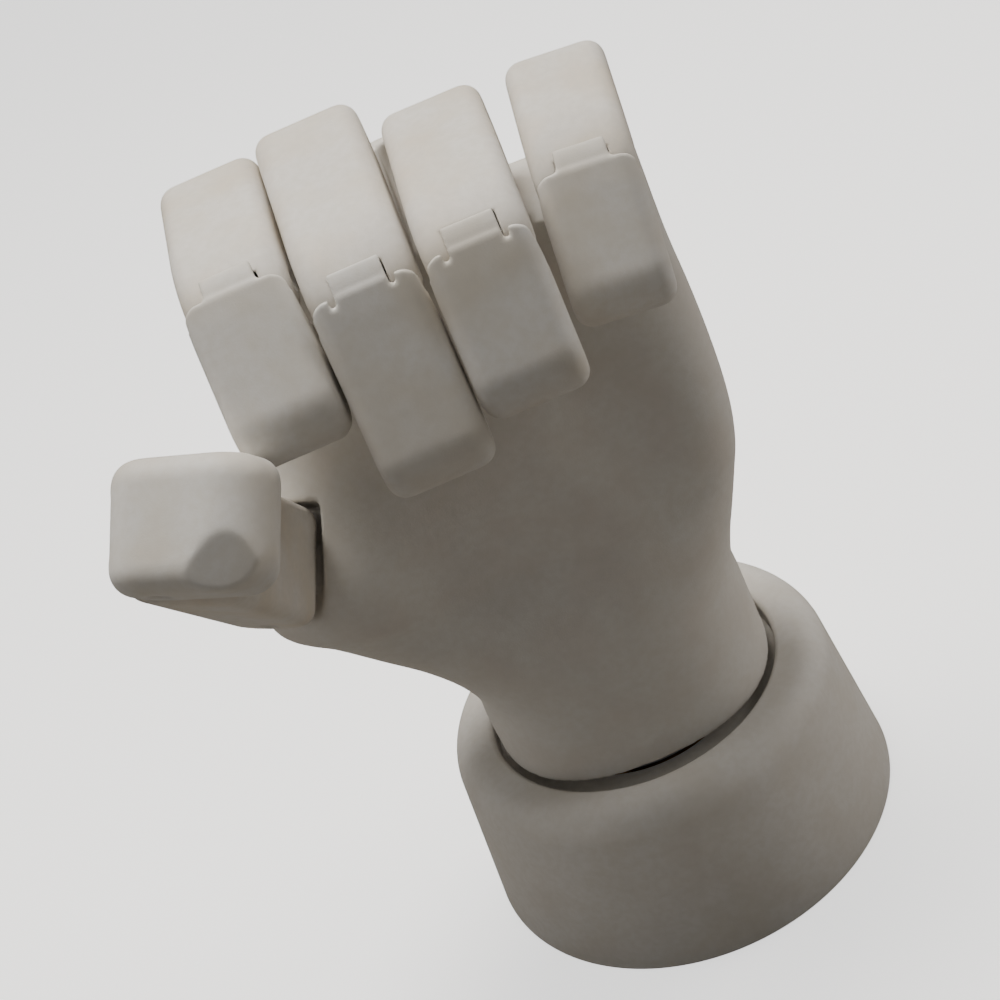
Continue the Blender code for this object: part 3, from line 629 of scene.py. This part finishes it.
def palm_form():
    """The palm's outer form, a loft of rounded sections with the hollows pressed in."""
    bm = bmesh.new()
    rings = []
    for layer in range(PALM_LAYERS + 1):
        height = NECK_BOTTOM + (PALM_TOP - NECK_BOTTOM) * layer / PALM_LAYERS
        left, right, front, back, centre, squareness = eased(height)
        row = []
        for step in range(PALM_POINTS):
            angle = math.tau * step / PALM_POINTS
            across = math.cos(angle)
            along = math.sin(angle)
            power = 2 / squareness
            x = (right if across > 0 else left) * math.copysign(abs(across) ** power, across)
            y = centre + (back if along > 0 else front) * math.copysign(abs(along) ** power, along)
            if along < 0:
                for hollow_x, hollow_z, wide, tall, depth in PALM_HOLLOWS:
                    fall = ((x - hollow_x) / wide) ** 2 + ((height - hollow_z) / tall) ** 2
                    y += depth * math.exp(-fall / 2) * abs(along)
            row.append(bm.verts.new((x * MM, y * MM, height * MM)))
        rings.append(row)
    close_rings(bm, rings)
    return bm


def lug():
    """The lug that a finger's rounded end turns on, pointing along the straight finger."""
    root = [(-LUG_HALF, -LUG_LENGTH), (LUG_HALF, -LUG_LENGTH)]
    return slab(arc(0, 0, LUG_RADIUS, 0, 180, 24) + root, LUG_HALF)


# The cover's opening with its cavity, the bore for the neck, and the step behind the last three
# knuckles
cover_low = (-COVER_HALF_WIDTH - COVER_GAP, COVER_FACE - COVER_GAP, COVER_LOW - COVER_GAP)
cover_high = (COVER_HALF_WIDTH + COVER_GAP, FAR, COVER_HIGH + COVER_GAP)
cavity_low = (-CAVITY_HALF_WIDTH, CAVITY_FLOOR, CAVITY_LOW)
cavity_high = (CAVITY_HALF_WIDTH, FAR, CAVITY_HIGH)
plug_hole = rod((0, 0, NECK_BOTTOM * MM - PAST), (0, 0, PLUG_TOP), PLUG_RADIUS, 96)
shoulder = [(x * MM, z * MM) for x, z in PALM_SHOULDER]
steps = [
    ("DIFFERENCE", tool(box(cover_low, cover_high))),
    ("DIFFERENCE", tool(box(cavity_low, cavity_high))),
    ("DIFFERENCE", tool(plug_hole)),
    ("DIFFERENCE", tool(curtain(shoulder, FAR))),
]

reach = BLOCK_HALF + TROUGH_GAP
for finger in FINGERS:
    knuckle, _, hinge, straight, _, _ = finger_ways(finger)
    closed = finger[1] + FINGER_CLOSES
    slope = math.radians(closed - 90)
    outline = [(reach, TROUGH_TOP)] + arc(0, 0, reach, 0, closed - 180, 20)
    front = outline[-1][0] - FAR * math.cos(slope)
    outline += [(front, outline[-1][1] - FAR * math.sin(slope)), (front, TROUGH_TOP)]
    trough = tool(slab(outline, TROUGH_HALF), frame_at(knuckle, hinge, straight))
    steps.append(("DIFFERENCE", trough))
for finger in FINGERS:
    knuckle, _, hinge, straight, _, _ = finger_ways(finger)
    steps.append(("UNION", tool(lug(), frame_at(knuckle, hinge, straight))))
    ends = hinge * PIN_REACH
    steps.append(("DIFFERENCE", tool(rod(knuckle - ends, knuckle + ends, PIN_HOLE))))

thumb_root, thumb_hinge = joint_at("thumb_base")
thumb_knuckle, _ = joint_at("thumb_knuckle")
thumb_way = thumb_knuckle - thumb_root
reach = BLOCK_HALF + SOCKET_GAP
opens = math.radians(THUMB_OPENS + SOCKET_LEAN)
closes = math.radians(SOCKET_LEAN)
fan = [(reach + FAR * math.sin(opens), FAR * math.cos(opens)), (reach, 0.0)]
fan += arc(0, 0, reach, 0, -180, 30)[1:]
fan.append((-reach - FAR * math.sin(closes), FAR * math.cos(closes)))
socket = tool(slab(fan, THUMB_HALF + TROUGH_GAP), frame_at(thumb_root, thumb_hinge, thumb_way))
steps.append(("DIFFERENCE", socket))
opened = Matrix.Rotation(-math.radians(THUMB_OPENS), 3, thumb_hinge) @ thumb_way
steps.append(("UNION", tool(lug(), frame_at(thumb_root, thumb_hinge, opened))))
ends = thumb_hinge * PIN_REACH
steps.append(("DIFFERENCE", tool(rod(thumb_root - ends, thumb_root + ends, PIN_HOLE))))

# The palm has the same chalky skin, a little darker and warmer: painted shade, for the palm lying
# under the fingers
palm_nylon_painted_shade = nylon_paint("blasted_nylon_palm_painted_shade", "dbd8d2", "d6d0c8", 0.35)
palm = carved("palm_shell_body", tool(palm_form()), steps, palm_nylon_painted_shade, PALM_VOXEL, PALM_SMOOTHING)
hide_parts("palm_shell")
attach(palm, "palm")

COVER_VOXEL = 0.5 * MM
COVER_SMOOTHING = 4
SCREW_SHANK_HOLE = 1.4 * MM
SCREW_HEAD_HOLE = 2.5 * MM
SCREW_SEAT = 10.1 * MM
SCREWS = [f"cover_screw_{height}_{side}" for height in ("low", "high") for side in ("left", "right")]

cover_low = (-COVER_HALF_WIDTH, COVER_FACE, COVER_LOW)
cover_high = (COVER_HALF_WIDTH, FAR, COVER_HIGH)
steps = [("INTERSECT", tool(box(cover_low, cover_high)))]
for name in SCREWS:
    low_corner, high_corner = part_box(name)
    spot = (Vector(low_corner) + Vector(high_corner)) / 2
    for start, radius in ((0, SCREW_SHANK_HOLE), (SCREW_SEAT, SCREW_HEAD_HOLE)):
        seat = Vector((spot.x, start, spot.z))
        steps.append(("DIFFERENCE", tool(rod(seat, seat + Vector((0, FAR, 0)), radius))))
cover_form = tool(palm_form())
cover = carved("back_cover_body", cover_form, steps, palm_nylon_painted_shade, COVER_VOXEL, COVER_SMOOTHING)
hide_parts("back_cover")
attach(cover, "palm")
finish(SCREWS, ground_steel)

# ---------------------------------------------------------------------------------------------
# Behind the palm. Four acetal carriers slide between fences on an acetal guide plate; a braided
# cord runs from each to its finger, and a stainless extension spring pulls each one back.
# ---------------------------------------------------------------------------------------------

SKIN = 0.04 * MM  # keeps a cord or a spring inside its CAD solid
CORD_RADIUS = 0.8 * MM
CORD_RINGS = 60
CORD_FORWARD = 6.4 * MM  # where a cord ends, in front of its knuckle
CORD_SHORT = 4.5 * MM  # and how far short of the finger's rounded end
SPRING_RADIUS = 2.1 * MM
SPRING_WIRE = 0.45 * MM
SPRING_TURNS = 9
SPRING_STEPS = 20
CAVITY_GAP = 0.3 * MM


CUTTER_MARK = 0.3 * MM
CUTTER_LENGTH = 8.0 * MM
ACETAL_DUST = 2.0 * MM
STRAND = 0.9 * MM
STRAND_LEAN = 0.7  # radians that each strand leans from the way along the cord


def machined_acetal():
    """Machined acetal: near black, satin, with fine straight cutter marks."""
    made, tree, shader = new_material("machined_acetal", "2b2b2d", 0.42)
    coordinates = add_node(tree, "ShaderNodeTexCoord").outputs["Object"]
    sizes = [
        ((CUTTER_MARK, CUTTER_LENGTH, CUTTER_LENGTH), 2.0),
        ((ACETAL_DUST, ACETAL_DUST, ACETAL_DUST), 3.0),
    ]
    marks, dust = patterns(tree, coordinates, sizes)
    dusted = add_node(
        tree,
        "ShaderNodeMapRange",
        None,
        {"Value": dust, "From Min": EVEN[0], "From Max": EVEN[1]},
    ).outputs["Result"]
    colour = add_node(
        tree,
        "ShaderNodeMix",
        {"data_type": "RGBA"},
        {"Factor": dusted, "A": linear("242426"), "B": linear("343437")},
    ).outputs["Result"]
    tree.links.new(colour, shader.inputs["Base Color"])
    sheen = add_node(
        tree,
        "ShaderNodeMapRange",
        None,
        {"Value": marks, "From Min": EVEN[0], "From Max": EVEN[1], "To Min": 0.36, "To Max": 0.5},
    ).outputs["Result"]
    tree.links.new(sheen, shader.inputs["Roughness"])
    relief(tree, shader, [(marks, 0.02 * MM, 0.5)])
    return made


def braided_line():
    """Braided polyethylene: crossing strands that catch the light as a fine diamond pattern."""
    made, tree, shader = new_material("braided_line", "d8d6cc", 0.7)
    coordinates = add_node(tree, "ShaderNodeTexCoord").outputs["Object"]
    crossed = add_node(tree, "ShaderNodeMath", {"operation": "MAXIMUM"})
    for place, lean in enumerate((STRAND_LEAN, -STRAND_LEAN)):
        leaning = add_node(
            tree, "ShaderNodeMapping", None, {"Vector": coordinates, "Rotation": (0, lean, 0)}
        ).outputs["Vector"]
        strand = add_node(
            tree,
            "ShaderNodeTexWave",
            {"wave_type": "BANDS", "bands_direction": "Z"},
            {"Vector": leaning, "Scale": WAVE_SPACING / STRAND, "Distortion": 0.4},
        ).outputs["Fac"]
        tree.links.new(strand, crossed.inputs[place])
    strands = crossed.outputs["Value"]
    colour = add_node(
        tree,
        "ShaderNodeMix",
        {"data_type": "RGBA"},
        {"Factor": strands, "A": linear("a9a699"), "B": linear("e2e0d6")},
    ).outputs["Result"]
    tree.links.new(colour, shader.inputs["Base Color"])
    sheen = add_node(
        tree, "ShaderNodeMapRange", None, {"Value": strands, "To Min": 0.8, "To Max": 0.6}
    ).outputs["Result"]
    tree.links.new(sheen, shader.inputs["Roughness"])
    relief(tree, shader, [(strands, 0.12 * MM, 0.8)])
    return made


acetal = machined_acetal()
line = braided_line()
# Drawn spring wire: bright, with the fine lengthwise marks of the die
spring_wire = turned_metal("drawn_spring_wire", "c8c8ca", "9fa0a4", 0.22, 0.2 * MM)
finish(["guide_plate"] + [finger[0] + "_carrier" for finger in FINGERS], acetal)


def tube(name, points, radius, sides, paint):
    """A closed round tube through these points."""
    bm = bmesh.new()
    rings = []
    side = Vector((1, 0, 0))
    for index, point in enumerate(points):
        way = (points[min(index + 1, len(points) - 1)] - points[max(index - 1, 0)]).normalized()
        side = (side - way * side.dot(way)).normalized()
        other = way.cross(side)
        ring = []
        for step in range(sides):
            angle = math.tau * step / sides
            out = side * math.cos(angle) + other * math.sin(angle)
            ring.append(bm.verts.new(point + out * radius))
        rings.append(ring)
    close_rings(bm, rings)
    bmesh.ops.recalc_face_normals(bm, faces=bm.faces)
    mesh = bpy.data.meshes.new(name)
    bm.to_mesh(mesh)
    bm.free()
    mesh.shade_smooth()
    return new_object(name, mesh, paint)


for finger in FINGERS:
    name = finger[0]
    carrier_low, carrier_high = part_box(name + "_carrier")
    spring_low, spring_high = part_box(name + "_spring")
    middle_x = (carrier_low[0] + carrier_high[0]) / 2
    knuckle, _, _, straight, _, _ = finger_ways(finger)
    start = Vector((middle_x, 0.0, carrier_high[2] + CAVITY_GAP))
    end = knuckle + Vector((0, -CORD_FORWARD, 0)) - straight * (BLOCK_HALF + CORD_SHORT)
    points = [start.lerp(end, step / CORD_RINGS) for step in range(CORD_RINGS + 1)]
    cord = tube(name + "_braided_cord", points, CORD_RADIUS - SKIN, 16, line)
    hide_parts(name + "_cord")
    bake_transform(cord)

    low = spring_low[2] + SPRING_WIRE
    high = spring_high[2] - SPRING_WIRE
    count = SPRING_TURNS * SPRING_STEPS
    points = []
    for step in range(count + 1):
        angle = math.tau * SPRING_TURNS * step / count
        rise = low + (high - low) * step / count
        spot = Vector((middle_x, 0, rise))
        points.append(spot + Vector((math.cos(angle), math.sin(angle), 0)) * (SPRING_RADIUS - SKIN))
    spring = tube(name + "_return_spring", points, SPRING_WIRE - SKIN, 8, spring_wire)
    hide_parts(name + "_spring")
    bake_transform(spring)

# ---------------------------------------------------------------------------------------------
# Fingers. Each is two rounded sintered nylon blocks: the first turns on the palm's lug and ends
# in a round barrel, and the second wraps that barrel with a thin lip whose middle tab stops it.
# The pins are ground steel, sunk a little into the sides.
# ---------------------------------------------------------------------------------------------

BLOCK_EDGE = 3.4 * MM
BARREL_RADIUS = 5.4 * MM
NOSE_LENGTH = 16.0 * MM  # the first block's back rolls down to the barrel over this length
LIP_INSIDE = 7.6 * MM
LIP_RISE = 1.2 * MM
TIP_BACK = 9.6 * MM
TAPER_START = 10.0 * MM
TAPER_END = 4.6 * MM
TAB_HALF = 4.8 * MM
TAB_SWEEP = 34.0  # degrees that the tab reaches back over the barrel
TAB_SUNK = 0.3 * MM
SLOT_GAP = 0.5 * MM
SLOT_TOP = 8.2 * MM
RELIEF = 8.5 * MM
SLOT_REACH = 20.0 * MM  # how far a slot's cutter runs out of the block
RELIEF_FALL = 2.0 * MM
LIP_STEP = 3.0 * MM
SHAVE = 1.0 * MM
BLOCK_VOXEL = 0.36 * MM
FIRST_SMOOTHING = 10
TIP_SMOOTHING = 7
NOTCH_WIDTH = 1.3 * MM
NOTCH_DEPTH = 1.6 * MM
NOTCHED = ("middle", "ring")


def knuckle_slot(matrix):
    """The slot in a block's rounded end that a lug stands in; the block's back stays closed."""
    half = LUG_HALF + SLOT_GAP
    slot = box((-half, -SLOT_REACH, -SLOT_REACH), (half, LUG_RADIUS + SLOT_GAP, SLOT_TOP))
    return ("DIFFERENCE", tool(slot, matrix))


def pin_hole(half, at, matrix):
    """A pin's hole right across a block, at this height up the block."""
    return ("DIFFERENCE", tool(rod((-half - PAST, 0, at), (half + PAST, 0, at), PIN_HOLE), matrix))


def at_lip(point):
    """Whether a tip block's outline point is on the thin lip, whose side rims stay sharp."""
    return point.z < RELIEF - SHAVE and not point.y > TIP_BACK - 0.1 * MM


# Upper blocks: the lightest copy of the nylon, painted light for their tops facing the overhead
# lamp, with a faint warm patch where they are handled
block_nylon_painted_light = nylon_paint("blasted_nylon_first_blocks_painted_light", "e2ded8", "dcd3c5", 0.3)
# Tip blocks: a touch greyer and cooler than the upper blocks, painted shade for their faces that
# turn down away from the overhead lamp
tip_nylon_painted_shade = nylon_paint("blasted_nylon_tip_blocks_painted_shade", "dddbd7", "d5cfc4", 0.3)

for finger in FINGERS:
    name, _, _, tip_length, width = finger
    knuckle, middle, hinge, _, first, second = finger_ways(finger)
    half = width / 2 * MM
    length = (middle - knuckle).length
    matrix = frame_at(knuckle, hinge, first)
    outline = arc(0, 0, BLOCK_HALF, 0, -180, 40)
    outline += [(-BLOCK_HALF, length - TAPER_START), (-BARREL_RADIUS, length - TAPER_END)]
    outline += arc(0, length, BARREL_RADIUS, 180, 90, 18)
    nose = length + BARREL_RADIUS - NOSE_LENGTH
    for step in range(1, 25):
        angle = math.pi / 2 * (1 - step / 24)
        outline.append((BLOCK_HALF * math.cos(angle), nose + NOSE_LENGTH * math.sin(angle)))
    slot_half = LUG_HALF + SLOT_GAP
    slot_deep = LUG_RADIUS + SLOT_GAP
    fork_low = (-slot_half, -SLOT_REACH, length - slot_deep)
    fork = box(fork_low, (slot_half, slot_deep, length + SLOT_REACH))
    steps = [
        knuckle_slot(matrix),
        ("DIFFERENCE", tool(fork, matrix)),
        pin_hole(half, 0.0, matrix),
        pin_hole(half, length, matrix),
    ]
    form = tool(slab(outline, half, BLOCK_EDGE), matrix)
    block = carved(name + "_first_block", form, steps, block_nylon_painted_light, BLOCK_VOXEL, FIRST_SMOOTHING)
    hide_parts(name + "_proximal")
    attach(block, name + "_proximal")

    matrix = frame_at(middle, hinge, second)
    tip = tip_length * MM - BLOCK_HALF
    outline = [(TIP_BACK, -LIP_RISE), (TIP_BACK, LIP_STEP)] + arc(0, tip, BLOCK_HALF, 0, 180, 36)
    outline += [(-BLOCK_HALF, RELIEF), (0.0, RELIEF - RELIEF_FALL), (0.0, -LIP_RISE)]
    hollow = rod((-half - PAST, 0, 0), (half + PAST, 0, 0), LIP_INSIDE, 96)
    inner = arc(0, 0, LUG_RADIUS, 0, -180, 24) + [
        (-LUG_RADIUS, LIP_STEP),
        (-LUG_RADIUS + SHAVE, LIP_INSIDE + 2 * SHAVE),
        (LUG_RADIUS, LIP_INSIDE + 2 * SHAVE),
    ]
    tab = arc(0, 0, TIP_BACK - TAB_SUNK, 8, -TAB_SWEEP, 16)
    tab += arc(0, 0, LIP_INSIDE - SKIN, -TAB_SWEEP, 12, 16)
    steps = [
        ("DIFFERENCE", tool(hollow, matrix)),
        ("UNION", tool(slab(inner, LUG_HALF), matrix)),
        ("UNION", tool(slab(tab, TAB_HALF), matrix)),
        pin_hole(half, 0.0, matrix),
    ]
    if name in NOTCHED:
        for side in (-1, 1):
            near = side * TAB_HALF
            far = side * (TAB_HALF + NOTCH_WIDTH)
            notch_low = (min(near, far), LIP_INSIDE - SHAVE, -PAST)
            notch_high = (max(near, far), TIP_BACK + SHAVE, NOTCH_DEPTH - LIP_RISE)
            steps.append(("DIFFERENCE", tool(box(notch_low, notch_high), matrix)))
    form = tool(slab(outline, half, BLOCK_EDGE, at_lip), matrix)
    block = carved(name + "_tip_block", form, steps, tip_nylon_painted_shade, BLOCK_VOXEL, TIP_SMOOTHING)
    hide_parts(name + "_distal")
    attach(block, name + "_distal")
    finish([name + "_knuckle_pin", name + "_middle_pin"], ground_steel)

# ---------------------------------------------------------------------------------------------
# Thumb. A wider first block turns in the palm's socket, and a short round-cornered tip block
# folds over it. Both are the same blasted nylon, on ground steel pins.
# ---------------------------------------------------------------------------------------------

THUMB_EDGE = 4.6 * MM
THUMB_TIP_LENGTH = 22.0 * MM
THUMB_TIP_WAY = Vector((0.885, -0.458, -0.052)).normalized()
# a flat sanded on the tip's inner corner: its way out of the block, and its distance from the pin
FACET_WAY = Vector((-0.38, 0.80, 0.46)).normalized()
FACET_REACH = 15.1 * MM
FACET_BLOCK = 20.0 * MM
CORNERS = [(-1, 8.0 * MM), (1, 5.5 * MM)]  # side, radius
STOP_LOW = 2.0 * MM
STOP_MIDDLE = 0.8 * MM
THUMB_LUG_ROOT = 3.0 * MM
THUMB_FIRST_SMOOTHING = 9
THUMB_TIP_SMOOTHING = 26

length = thumb_way.length
matrix = frame_at(thumb_root, thumb_hinge, thumb_way)
outline = arc(0, 0, BLOCK_HALF, 0, -180, 40) + [(-BLOCK_HALF, length - BLOCK_HALF - STOP_LOW)]
outline += [(0.0, length - BLOCK_HALF - STOP_MIDDLE), (BLOCK_HALF, length)]
hollow_reach = BLOCK_HALF + TROUGH_GAP
lug_root = length - hollow_reach - THUMB_LUG_ROOT
thumb_lug = arc(0, length, LUG_RADIUS, 0, 180, 24) + [(-LUG_HALF, lug_root), (LUG_HALF, lug_root)]
hollow = rod((-THUMB_HALF - PAST, 0, length), (THUMB_HALF + PAST, 0, length), hollow_reach, 96)
neck = LUG_HALF + SLOT_GAP
lug_room = arc(0, 0, LUG_RADIUS + SLOT_GAP, 0, 180, 24)
lug_room += [(-neck, -LUG_LENGTH), (neck, -LUG_LENGTH)]
steps = []
for degrees in (-THUMB_OPENS, 0.0):
    leaned = matrix @ Matrix.Rotation(math.radians(degrees), 4, "X")
    steps.append(("DIFFERENCE", tool(slab(lug_room, neck), leaned)))
steps += [
    ("DIFFERENCE", tool(hollow, matrix)),
    ("UNION", tool(slab(thumb_lug, LUG_HALF), matrix)),
    pin_hole(THUMB_HALF, 0.0, matrix),
    pin_hole(THUMB_HALF, length, matrix),
]
form = tool(slab(outline, THUMB_HALF, BLOCK_EDGE), matrix)
block = carved("thumb_first_block", form, steps, block_nylon_painted_light, BLOCK_VOXEL, THUMB_FIRST_SMOOTHING)
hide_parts("thumb_proximal")
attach(block, "thumb_proximal")

matrix = frame_at(thumb_knuckle, thumb_hinge, THUMB_TIP_WAY)
tip = THUMB_TIP_LENGTH - BLOCK_HALF
outline = arc(0, 0, BLOCK_HALF, 0, -180, 40) + arc(0, tip, BLOCK_HALF, 180, 0, 40)
steps = [knuckle_slot(matrix), pin_hole(THUMB_HALF, 0.0, matrix)]
for side, radius in CORNERS:
    corner = arc(THUMB_HALF - radius, THUMB_TIP_LENGTH - radius, radius, 0, 90, 16) + [
        (THUMB_HALF - radius, THUMB_TIP_LENGTH + SHAVE),
        (THUMB_HALF + SHAVE, THUMB_TIP_LENGTH + SHAVE),
        (THUMB_HALF + SHAVE, THUMB_TIP_LENGTH - radius),
    ]
    outside = curtain([(side * x, z) for x, z in corner], FACET_BLOCK)
    steps.append(("DIFFERENCE", tool(outside, matrix)))
facet_low = (-FACET_BLOCK, -FACET_BLOCK, FACET_REACH)
facet = box(facet_low, (FACET_BLOCK, FACET_BLOCK, FACET_REACH + FACET_BLOCK))
facet_turn = FACET_WAY.to_track_quat("Z", "Y").to_matrix().to_4x4()
steps.append(("DIFFERENCE", tool(facet, matrix @ facet_turn)))
form = tool(slab(outline, THUMB_HALF, THUMB_EDGE), matrix)
block = carved("thumb_tip_block", form, steps, tip_nylon_painted_shade, BLOCK_VOXEL, THUMB_TIP_SMOOTHING)
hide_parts("thumb_distal")
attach(block, "thumb_distal")
finish(["thumb_base_pin", "thumb_knuckle_pin"], ground_steel)
